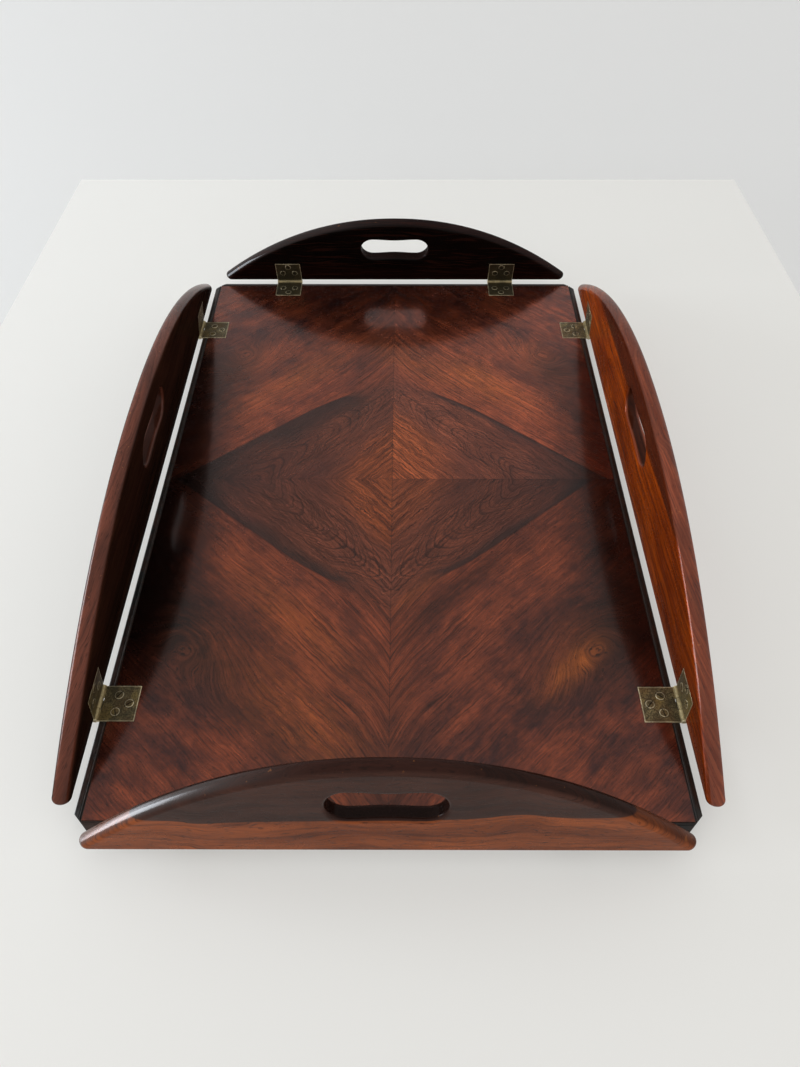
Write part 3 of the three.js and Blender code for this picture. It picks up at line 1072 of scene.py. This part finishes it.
# The lipping's section: [out from the veneer, up], with its quirk, bead, line, band and rounded arris
def lippingProfile():
    width, top = panel["lippingWidth"], panelTop
    lineStart = panel["quirkWidth"] + panel["beadWidth"]
    bandStart = lineStart + panel["lineWidth"]
    arrisTop = top - panel["bandDrop"] - panel["bandSlope"]
    radius, bead, steps = panel["arrisRadius"], panel["beadWidth"] / 2, panel["arcSteps"]
    profile = [(0, 0), (width - panel["footArris"], 0), (width, panel["footArris"])]
    for s in range(steps + 1):
        angle = math.pi / 2 * s / steps
        profile.append((width - radius * (1 - math.cos(angle)), arrisTop - radius * (1 - math.sin(angle))))
    profile += [(bandStart, top - panel["bandDrop"]), (bandStart, top - panel["lineDepth"])]
    for s in range(steps + 1):
        angle = math.pi * s / steps
        rise = bead * math.sin(angle) - bead - panel["beadDrop"]
        profile.append((lineStart - bead * (1 - math.cos(angle)), top + rise))
    return profile + [(panel["quirkWidth"], top - panel["quirkDepth"]), (0, top - panel["quirkDepth"])]


# One lipping along X with mitred ends; Y runs outwards from the middle, Z is the panel's height
def makeLipping(side):
    halfRun = side["halfRun"]
    edge = fieldHigh.y if side["end"] else fieldHigh.x
    profile = lippingProfile()
    ends = [[(way * (halfRun + out), edge + out, z) for out, z in profile] for way in (-1, 1)]
    bar = drawLoops("lipping", ends)
    for way in (-1, 1):
        editing(bar)
        selectVertices(bar, lambda point: way * point.x > 0)
        bpy.ops.mesh.edge_face_add()
        doneEditing()
    bridgeLoops(bar, [len(profile)] * 2, 0)
    outward(bar)
    clip = panel["lippingWidth"] - panel["cornerClip"] / 2
    for way in (-1, 1):
        corner = (way * (halfRun + clip), edge + clip, 0)
        editing(bar)
        bpy.ops.mesh.select_all(action="SELECT")
        bpy.ops.mesh.bisect(plane_co=corner, plane_no=(way, 1, 0), clear_outer=True, use_fill=True)
        doneEditing()
        mesh = editing(bar, "EDGE")
        for line in mesh.edges:
            points = [vertex.co for vertex in line.verts]
            onClip = all(abs(way * (p.x - corner[0]) + p.y - corner[1]) < planeReach for p in points)
            line.select = onClip and min(p.z for p in points) > panelTop - panel["clipArris"] - past
        bmesh.update_edit_mesh(bar.data)
        bpy.ops.mesh.bevel(offset=panel["clipArris"] / 2, segments=panel["clipSteps"])
        doneEditing()
    gains = []
    for along, _ in hingePlaces(side):
        for width, reach, depth, top in (
            (hinge["length"], hinge["baseReach"] + hinge["seat"], hinge["plate"], panelTop + past),
            (spring["width"], spring["reach"], spring["pocket"], panelTop),
        ):
            half = width / 2 + hinge["seat"]
            low = (along - half, side["pin"] - reach, panelTop - depth)
            gains.append(addBox(low, (along + half, side["pin"] + past, top)))
    boolean(bar, gains)
    smooth(bar, "wood")
    return bar


spring = {"width": 8, "reach": 21.8, "pocket": 4}

screw = {
    "head": 4.0,
    "headHeight": 2.4,
    "shank": 1.8,
    "length": 9,
    "slotWidth": 1.0,
    "slotDepth": 0.8,
    "proud": 0.15,
    "rim": 0.12,
    "dome": 0.1,
    "point": 0.15,
    "seat": 0.12,
}


# Rounds the edges that are sharper than the rim angle.
def roundRims(obj, width, steps):
    rimAngle = math.radians(hinge["rimAngle"])
    modify(obj, "BEVEL", width=width, segments=steps, limit_method="ANGLE", angle_limit=rimAngle)


# A hinge plate lying flat: X along the pin, Y from the pin across the plate, top face at z = 0
def makePlate(reach, knuckles):
    half, thick, edge, sliver = hinge["length"] / 2, hinge["plate"], hinge["edge"], hinge["sliver"]
    width = hinge["length"] / 3
    plate = addBox((-half, hinge["slabStart"], -thick), (half, reach, 0))
    modify(plate, "BEVEL", width=edge, segments=hinge["edgeSteps"])
    wraps = []
    for knuckle in knuckles:
        start = -half + knuckle * width + (hinge["seat"] / 2 if knuckle > 0 else 0)
        end = -half + (knuckle + 1) * width - (hinge["seat"] / 2 if knuckle < 2 else 0)
        low = (start + sliver, hinge["tongueStart"], sliver - thick)
        high = (end - sliver, hinge["slabStart"] + past, -sliver)
        barrel = addRod(hinge["knuckle"], (start, 0, 0), (end, 0, 0), "barrel")
        roundRims(barrel, edge, hinge["rimSteps"])
        wraps += [addBox(low, high), barrel]
    boolean(plate, wraps, "UNION")
    cutters = [addRod(hinge["bore"], (-half - past, 0, 0), (half + past, 0, 0))]
    wide, tall = screw["head"] + screw["seat"], screw["headHeight"] + screw["seat"]
    for x, y in hinge["screws"]:
        cutters.append(addRod(screw["shank"] + screw["seat"], (x, y, -thick - past), (x, y, past), "hole"))
        cutters.append(addCone(screw["shank"], wide, tall, (x, y, planeReach - tall / 2)))
    boolean(plate, cutters)
    smooth(plate, "plate")
    return plate


# A countersunk slotted screw, its axis along Z and its head's face at z = 0
def makeScrew():
    head, proud, tall, rim, dome = (screw[key] for key in ("head", "proud", "headHeight", "rim", "dome"))
    body = addCone(screw["shank"], head, tall, (0, 0, -tall / 2))
    selectCap(body, 1)
    bpy.ops.mesh.extrude_region_move(TRANSFORM_OT_translate={"value": (0, 0, proud - rim)})
    for inward, rise in ((rim, rim), (head / 3, dome), (head / 3, dome / 3)):
        bpy.ops.mesh.inset(thickness=inward, depth=rise)
    doneEditing()
    selectCap(body, -1)
    point = 2 * screw["shank"]
    for drop in (screw["length"] - tall - point, point):
        bpy.ops.mesh.extrude_region_move(TRANSFORM_OT_translate={"value": (0, 0, -drop)})
    bpy.ops.transform.resize(value=(screw["point"], screw["point"], 1))
    doneEditing()
    half = screw["slotWidth"] / 2
    boolean(body, [addBox((-head - past, -half, proud - screw["slotDepth"]), (head + past, half, 2 * past))])
    smooth(body, "screw")
    return body


capFacing = 0.9


# Opens a piece for editing with the face at its top or its bottom selected
def selectCap(obj, way):
    mesh = editing(obj, "FACE")
    for face in mesh.faces:
        face.select = way * face.normal.z > capFacing
    bmesh.update_edit_mesh(obj.data)


def makePin():
    half, radius = hinge["length"] / 2 - hinge["seat"], hinge["pin"]
    pin = addRod(radius, (-half, 0, 0), (half, 0, 0))
    roundRims(pin, radius / 3, hinge["pinSteps"])
    smooth(pin, "pin")
    return pin


def addPiece(model, matrix, name, body, material, node=None):
    piece = place(copyOf(model), matrix, name)
    piece.data.materials.clear()
    piece.data.materials.append(material)
    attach(piece, body)
    if node:
        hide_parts(node)
    return piece


def discard(*models):
    for model in models:
        bpy.data.objects.remove(model)


# Leaves: each board's tones, with painted shade on the left and back boards and a painted dark reflection on
# the front one's nose. line is the height where the lower wood ends, from one end to the other.
leafLooks = {
    "front": {
        "seed": 1.3,
        "shader": {"Coat Roughness": 0.22, "Specular IOR Level": 0.06},
        "metal": 0.5,
        "coat": 0.25,
        "wave": 14,
        "soft": 0.7,
        "line": ((-234, 44), (-178, 45.5), (-150, 44.5), (-118, 45.5), (-103, 48.5), (-88, 48), (-68, 44.5),
                 (-38, 42.5), (0, 41.5), (40, 41), (80, 39.5), (111, 39), (141, 38), (150, 40), (234, 42)),
        "below": ((0.14, 0.032, 0.008), (0.33, 0.080, 0.018)),
        "above": ((0.021, 0.0082, 0.0055), (0.066, 0.023, 0.0140)),
        "lined": 0.12,
        "lineTone": (0.06, 0.018, 0.010),
        "nose": (0.019, 0.0062, 0.0042),
        "noseBelow": 0.6,
        "noseGloss": (40, 150, 0.07, 1.0),
        # Painted reflection: a dark stretch along the nose, where the gloss would mirror something dark;
        # where it is centred and how it fades
        "paintedNoseReflectionAt": -124,
        "paintedNoseReflection": (28, 95.2, 0.8, 0),
        "slotShade": 0.85,
    },
    "right": {
        "seed": 2.1,
        "metal": 0.35,
        "coat": 0.12,
        "wave": 5,
        "soft": 3,
        "line": ((-364, 71), (-230, 77), (0, 88), (364, 105)),
        "below": ((0.24, 0.030, 0.0011), (0.56, 0.094, 0.003)),
        "above": ((0.050, 0.010, 0.004), (0.13, 0.027, 0.008)),
        "lined": 0.6,
        "lineTone": (0.085, 0.010, 0.0018),
        "endShade": (20, 340, 0, 0.5),
        "endTone": (0.085, 0.016, 0.005),
        "nose": (0.215, 0.048, 0.019),
        "noseBelow": 0.9,
        "noseGloss": (-300, 300, 0.4, 0.65),
        "slotShade": 0.8,
    },
    "left": {
        "seed": 4.7,
        "metal": 0.0,
        "coat": 0.05,
        "wave": 8,
        "soft": 9,
        "line": ((-364, 40), (364, 52)),
        # Painted shade: the left leaf's faces are near-black, as the board stands with its back to the light;
        # its nose keeps the wood's own brown
        "below": ((0.008, 0.0035, 0.002), (0.022, 0.0085, 0.0045)),
        "above": ((0.012, 0.0045, 0.0025), (0.034, 0.012, 0.0065)),
        "lined": 0.2,
        "lineTone": (0.004, 0.002, 0.001),
        "nose": (0.13, 0.036, 0.02),
        "noseBelow": 0.9,
        "noseGloss": (-300, 300, 0.4, 0.6),
        "slotShade": 0.8,
    },
    "back": {
        "seed": 6.2,
        "metal": 0.1,
        "coat": 0.1,
        "wave": 8,
        "soft": 12,
        "line": ((-234, 30), (234, 22)),
        # Dark heartwood, painted darker still as shade: the back leaf's faces turn down, away from the light
        "below": ((0.003, 0.0014, 0.0011), (0.013, 0.0032, 0.0018)),
        "above": ((0.0013, 0.0013, 0.0012), (0.0045, 0.0028, 0.0024)),
        "lined": 0.2,
        "lineTone": (0.003, 0.0015, 0.001),
        "nose": (0.016, 0.0075, 0.007),
        "noseBelow": 0.7,
        "noseGloss": (-160, 40, 0.6, 0.12),
        "slotShade": 0.7,
    },
}

# What leaves share, where they have no own. The nose is a board's rounded edge, depths are from its faces.
leafShared = {
    "shader": {"Coat Roughness": 0.08, "Specular IOR Level": 0.0},
    "gloss": (0.2, 0.32),
    "slow": (0.012, 0.03, 1, 2, 0.5),
    "slowLift": 6,
    "lineTop": 120,
    "slant": 0.8,
    "stretch": 0.55,
    "slotEnds": (60, 80, 1, 0),
    "slotRim": (0.2, 2.5),
    "slotLift": 8,
    # slotInside and slotMargins: where the painted shade inside the hand slot lies
    "slotInside": (2, 4.5),
    "slotMargins": (4, 12),
    "slotCoat": (-0.9, 1),
    "noseDepth": (0.3, 2.6),
    "noseMetal": 0.1,
    "noseAbove": 0.9,
    "noseLevel": (0.7, 0.62),
    "darkLine": 0.42,
    "pore": 0.5,
    "nick": (0.28, 0.02),
    "level": (0.24, 0.88),
}


# A smooth line through points, as a curve node: value in, height out
def heightLine(value, points, top):
    start, end = points[0][0], points[-1][0]
    curve = addNode(value.tree, "FloatCurve", {"Value": (value - start) / (end - start)})
    marks = curve.mapping.curves[0].points
    places = [((at - start) / (end - start), height / top) for at, height in points]
    marks[0].location, marks[1].location = places[0], places[-1]
    for spot in places[1:-1]:
        marks.new(*spot)
    curve.mapping.update()
    return Value(value.tree, curve.outputs[0]) * top


def makeLeafFinish(sideName):
    look, tone = {**leafShared, **leafLooks[sideName]}, veneerTones
    material, tree, shader = newMaterial(sideName + "_leaf_wood", look["shader"])
    place = asDrawn(tree)
    x, y, z = separate(place)
    slow = stretchedNoise(x, z, look["slow"], look["seed"]) - noiseMiddle
    height = slow * look["slowLift"] + (z - heightLine(x, look["line"], look["lineTop"]))
    sunk = y.maths("MINIMUM", y * -1 + leafSizes["thickness"])
    slotEnds = ease(abs(x), *look["slotEnds"])
    height = ease(sunk, *look["slotRim"]) * slotEnds * look["slotLift"] + height
    # Painted shade inside the hand slot: its walls are darkened, and the coat is thinned there
    _, slotHeight, slotRise = leafShapes[sides[sideName]["end"]]["slot"]
    fromSlot = abs(z - (leafSizes["gap"] + slotRise + slotHeight / 2))
    near, far = (slotHeight / 2 + margin for margin in look["slotMargins"])
    slotShade = ease(sunk, *look["slotInside"]) * ease(fromSlot, near, far, 1, 0)
    slotShade = slotShade * slotEnds * look["slotShade"]

    # The board's lines follow that height and slant through its thickness
    ring = slow * look["wave"] + (y * look["slant"] + height * look["stretch"])
    grain = useGroup(tree, grainGroup, {"Across": ring, "Along": x, "Seed": look["seed"]})
    figure = figureOf(grain)
    upper = ease(height, -look["soft"], look["soft"])
    colour = mixColor(upper, between(figure, *look["below"]), between(figure, *look["above"]))
    if "endShade" in look:
        colour = over(colour, ease(x, *look["endShade"]), look["endTone"])
    nose = ease(sunk, *look["noseDepth"])
    coat = blend(nose, look["coat"], ease(x, *look["noseGloss"])) * slope(slotShade, look["slotCoat"])
    nose = nose * blend(upper, look["noseBelow"], look["noseAbove"])
    noseTone = lighten((*look["nose"], 1), slope(grain["Tone"], look["noseLevel"]))
    # Painted reflection: a dark stretch of the nose, on the front leaf only
    if "paintedNoseReflection" in look:
        noseTone = over(noseTone, ease(abs(x - look["paintedNoseReflectionAt"]), *look["paintedNoseReflection"]), tone["ink"])
    metal = nose * (look["noseMetal"] - look["metal"]) + look["metal"]
    colour = mixColor(nose, colour, noseTone)
    colour = over(colour, grain["Stripe"] * look["lined"], look["lineTone"])
    colour = over(colour, grain["Line"] * look["darkLine"], tone["dark"])
    colour = over(colour, grain["Pore"] * look["pore"], tone["ink"])
    wear = useGroup(tree, wearGroup, {"Place": place, "Seed": look["seed"]})
    colour = over(colour, wear["Nick"] * slope(nose, look["nick"]), tone["fleck"])
    colour = lighten(colour, slope(grain["Fibre"], look["level"]))
    # Painted shade in the hand slot
    colour = over(colour, slotShade, tone["ink"])
    feed(shader, {"Base Color": colour, "Metallic": metal, "Coat Weight": coat})
    polishedWood(shader, place, grain["Pore"], look["gloss"], grain["Streak"])
    return material


# Lipping: near-black wood, its arris and bead rubbed red here and there
lippingLook = {
    "shader": {"Coat Weight": 0.3, "Coat Roughness": 0.2, "Specular IOR Level": 0.2},
    "gloss": (0.34, 0.5),
    "seed": 8.4,
    "dark": (0.0045, 0.0045, 0.0038),
    "streak": (0.018, 0.0105, 0.0075),
    "worn": (0.070, 0.022, 0.011),
    "rubFade": (-2.2, -0.6),
    "rub": 0.3,
    "nick": 0.4,
}


def makeLippingFinish():
    look = lippingLook
    material, tree, shader = newMaterial("dark_lipping", look["shader"])
    place = asDrawn(tree)
    x, y, z = separate(place)
    grain = useGroup(tree, grainGroup, {"Across": y + z, "Along": x, "Seed": look["seed"]})
    wear = useGroup(tree, wearGroup, {"Place": place, "Seed": look["seed"]})
    rubbed = ease(z - panelTop, *look["rubFade"]) * wear["Smudge"]
    colour = between(grain["Streak"], look["dark"], look["streak"])
    colour = over(colour, rubbed * look["rub"], look["worn"])
    colour = over(colour, wear["Nick"] * look["nick"], look["worn"])
    feed(shader, {"Base Color": colour})
    polishedWood(shader, place, grain["Pore"], look["gloss"], grain["Streak"])
    return material


# Brass: an olive and brown patina that is rubbed bright on the rims, the barrels and round the screws. The
# hinges at the back and on the left are painted darker, as painted shade.
brassLook = {
    "metal": 0.62,
    "seed": 9.6,
    "dark": (0.036, 0.030, 0.016),
    "olive": (0.33, 0.255, 0.12),
    "yellow": (0.30, 0.215, 0.060),
    "rust": (0.17, 0.075, 0.022),
    "bright": (0.72, 0.62, 0.40),
    "barrel": (0.46, 0.37, 0.19),
    "gap": (0.012, 0.010, 0.007),
    "cloud": (0.11, 4, 0.65),
    "cloudFade": (0.36, 0.64),
    "patch": (0.055, 2, 0.5),
    "patchFade": (0.52, 0.66),
    "speck": (0.8, 4, 0.7),
    "speckFade": (0.36, 0.64),
    "mottle": (0.7, 0.3),
    "yellowing": (0.6, 0.15),
    "rusting": 0.35,
    # The next two: painted shade on the hinges at the back and on the left
    "backPaintedShade": (330, 345, 0, 0.84),
    "leftPaintedShade": (200, 230, 0, 0.3),
    "rimFade": (0.35, 1.1, 0.95, 0),
    "gapMiddle": 0.2,
    "gapFade": (0.1, 0.45, 0.8, 0),
    "knuckleFade": (2.6, 3.5, 0.75, 0),
    "headFade": (-1.0, -0.35, 0, 0.95),
    "slotFade": (-0.3, 0, 0.85, 0),
    "pinFade": (9, 10, 0, 0.7),
    "shine": (0.6, 0.4),
    "barrelShine": (0.5, 0.5),
    "rough": (0.16, 0.4),
    "shineRough": -0.2,
}


def makeBrass(name, reach=None):
    look = brassLook
    material, tree, shader = newMaterial(name, {"Metallic": look["metal"]})
    place, world = asDrawn(tree), inMillimetres(tree)
    x, y, z = separate(place)
    worldX, worldY, _ = separate(world)
    wear = useGroup(tree, wearGroup, {"Place": world, "Seed": look["seed"]})
    keys = ("cloud", "patch", "speck")
    cloud, patch, speck = (ease(noise(world, *look[key]), *look[key + "Fade"]) for key in keys)
    colour = between(speck * slope(cloud, look["mottle"]), look["dark"], look["olive"])
    colour = over(colour, patch * slope(speck, look["yellowing"]), look["yellow"])
    colour = over(colour, wear["Smudge"] * look["rusting"], look["rust"])
    # Painted shade: the hinges at the back and on the left are darkened, as they lie in the leaves' shade
    paintedShade = ease(worldY, *look["backPaintedShade"]) + ease(worldX * -1, *look["leftPaintedShade"])
    colour = over(colour, paintedShade, look["dark"])
    if reach:
        toRim = (abs(x) * -1 + hinge["length"] / 2).maths("MINIMUM", y * -1 + reach)
        shine = ease(toRim, *look["rimFade"])
        for middle in hinge["screws"]:
            inputs = {0: place, 1: (*middle, 0)}
            away = addValue(tree, "VectorMath", inputs, "Value", operation="DISTANCE")
            ring = abs(away - (screw["head"] + look["gapMiddle"]))
            colour = over(colour, ease(ring, *look["gapFade"]), look["gap"])
        barrel = ease(y, *look["knuckleFade"])
    else:
        away = (x * x + y * y).maths("SQRT")
        shine = ease(away - screw["head"], *look["headFade"])
        colour = over(colour, ease(z, *look["slotFade"]), look["gap"])
        barrel = ease(abs(x), *look["pinFade"])
    shine = shine * slope(cloud, look["shine"])
    colour = over(colour, barrel * slope(cloud, look["barrelShine"]), look["barrel"])
    colour = over(colour, shine, look["bright"])
    rough = shine * look["shineRough"] + slope(wear["Smudge"], look["rough"])
    feed(shader, {"Base Color": colour, "Roughness": rough, "Normal": bump(speck, bumpStep["pit"])})
    return material


# What hardly shows: the spring steel, the core and the backing
steelLook = {
    "dark": (0.16, 0.15, 0.14),
    "light": (0.3, 0.29, 0.27),
    "brown": (0.07, 0.05, 0.035),
    "stretch": (2, 2, 0.2),
    "brush": (1, 3, 0.5),
    "stain": (0.12, 3, 0.6),
    "stainFade": (0.4, 0.62),
    "stained": 0.5,
    "rough": (0.3, 0.3),
}
plainWoods = {
    "core_wood": {"tones": ((0.10, 0.058, 0.030), (0.20, 0.125, 0.068)), "gloss": (0.6, 0.75)},
    "backing_veneer": {"tones": ((0.026, 0.009, 0.005), (0.085, 0.028, 0.013)), "gloss": (0.4, 0.55)},
    "seed": 12.5,
    "slow": (0.006, 2, 0.5),
    "slowLift": 40,
    "pore": 0.5,
}


def makeSteel():
    look = steelLook
    material, tree, shader = newMaterial("spring_steel", {"Metallic": 1.0})
    place = inMillimetres(tree)
    stretched = addValue(tree, "VectorMath", {0: place, 1: look["stretch"]}, operation="MULTIPLY")
    brushed = noise(stretched, *look["brush"])
    stain = ease(noise(place, *look["stain"]), *look["stainFade"])
    colour = over(between(brushed, look["dark"], look["light"]), stain * look["stained"], look["brown"])
    normal = bump(brushed, bumpStep["fibre"])
    feed(shader, {"Base Color": colour, "Roughness": slope(brushed, look["rough"]), "Normal": normal})
    return material


def makePlainWood(name):
    look, own = plainWoods, plainWoods[name]
    material, tree, shader = newMaterial(name, {})
    place = inMillimetres(tree)
    x, y, z = separate(place)
    ring = noise(place, *look["slow"]) * look["slowLift"] + (x + z)
    grain = useGroup(tree, grainGroup, {"Across": ring, "Along": y, "Seed": look["seed"]})
    colour = over(between(figureOf(grain), *own["tones"]), grain["Pore"] * look["pore"], veneerTones["ink"])
    feed(shader, {"Base Color": colour})
    polishedWood(shader, place, grain["Pore"], own["gloss"], grain["Fibre"])
    return material


lippingFinish = makeLippingFinish()
baseBrass = makeBrass("brass_base_plate", hinge["baseReach"])
flapBrass = makeBrass("brass_flap", hinge["leafReach"])
smallBrass = makeBrass("brass_screws_and_pins")
print("finishes made")

for start, end, finish in (
    ("veneer_", "", veneerFinish),
    ("hinge_", "_spring", makeSteel()),
    ("base_core", "", makePlainWood("core_wood")),
    ("backing_veneer", "", makePlainWood("backing_veneer")),
):
    for nodeName, node in frame["nodes"].items():
        if nodeName.startswith(start) and nodeName.endswith(end):
            node.data.materials.clear()
            node.data.materials.append(finish)

basePlate = makePlate(hinge["baseReach"], (0, 2))
leafPlate = makePlate(hinge["leafReach"], (1,))
hingePin = makePin()
screwModel = makeScrew()
print("hinge parts modelled")
for sideName, side in sides.items():
    leafBody = sideName + "_leaf"
    leafFinish = makeLeafFinish(sideName)
    leafModel, lippingModel = makeLeaf(sideName, side), makeLipping(side)
    name = "arched_leaf_" + sideName
    addPiece(leafModel, leafPlace(side), name, leafBody, leafFinish, "leaf_" + sideName)
    name = "moulded_lipping_" + sideName
    addPiece(lippingModel, quarter(side), name, "panel", lippingFinish, "lipping_" + sideName)
    discard(leafModel, lippingModel)
    for along, which in hingePlaces(side):
        name = f"hinge_{sideName}_{which}"
        onPanel, onLeaf = basePlatePlace(side, along), leafPlatePlace(side, along)
        addPiece(basePlate, onPanel, name + "_base", "panel", baseBrass, name + "_base_plate")
        addPiece(leafPlate, onLeaf, name + "_flap", leafBody, flapBrass, name + "_leaf_plate")
        addPiece(hingePin, onPanel, name + "_rod", "panel", smallBrass, name + "_pin")
        for plateName, platePlace, body in (("base", onPanel, "panel"), ("flap", onLeaf, leafBody)):
            for number, (x, y) in enumerate(hinge["screws"], 1):
                turn = Matrix.Rotation(rng.uniform(0, math.pi), 4, "Z")
                screwName = f"screw_{sideName}_{which}_{plateName}_{number}"
                screwPlace = platePlace @ Matrix.Translation((x, y, 0)) @ turn
                addPiece(screwModel, screwPlace, screwName, body, smallBrass)
discard(basePlate, leafPlate, hingePin, screwModel)
print("pieces placed")
